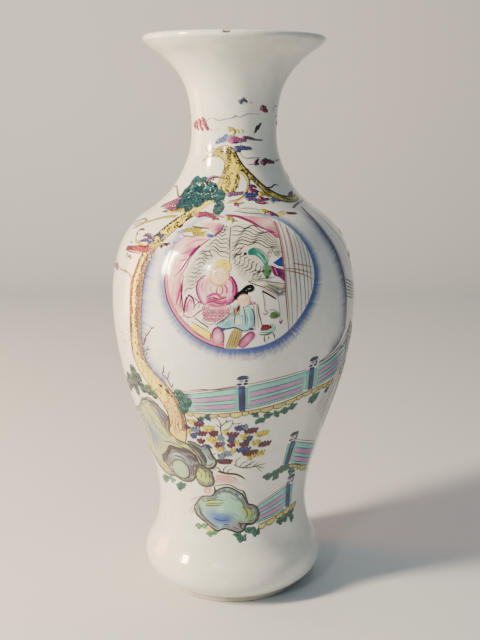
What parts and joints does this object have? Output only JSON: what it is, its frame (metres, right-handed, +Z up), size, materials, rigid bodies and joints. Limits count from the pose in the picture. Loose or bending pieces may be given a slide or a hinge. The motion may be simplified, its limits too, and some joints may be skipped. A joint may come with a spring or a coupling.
{
  "type": "porcelain vase",
  "caption": "Tall baluster vase in enamelled porcelain, with a flared mouth, narrow neck, round shoulder and spreading foot on a turned standing ring.",
  "frame": {"origin": "centre of the standing ring's underside, on the surface that the vase stands on", "axes": "+Z up along the axis of rotation; -Y is the painted front with the round window; +X is to the right seen from the front"},
  "size_m": [0.255, 0.255, 0.58],
  "materials": {
    "glazed_porcelain": "clear feldspathic glaze over white porcelain, glossy, slightly uneven",
    "luting_slip": "fired porcelain slip under the same clear glaze",
    "biscuit": "bare fired porcelain biscuit, matt, with ingrained dirt"
  },
  "bodies": {
    "root": {"standing_ring": "biscuit", "floor_slab": "glazed_porcelain", "floor_luting": "luting_slip", "foot_section": "glazed_porcelain", "waist_luting": "luting_slip", "lower_body": "glazed_porcelain", "belly_luting": "luting_slip", "upper_body": "glazed_porcelain", "shoulder_luting": "luting_slip", "neck_section": "glazed_porcelain", "neck_luting": "luting_slip", "mouth_section": "glazed_porcelain"}
  },
  "joints": []
}
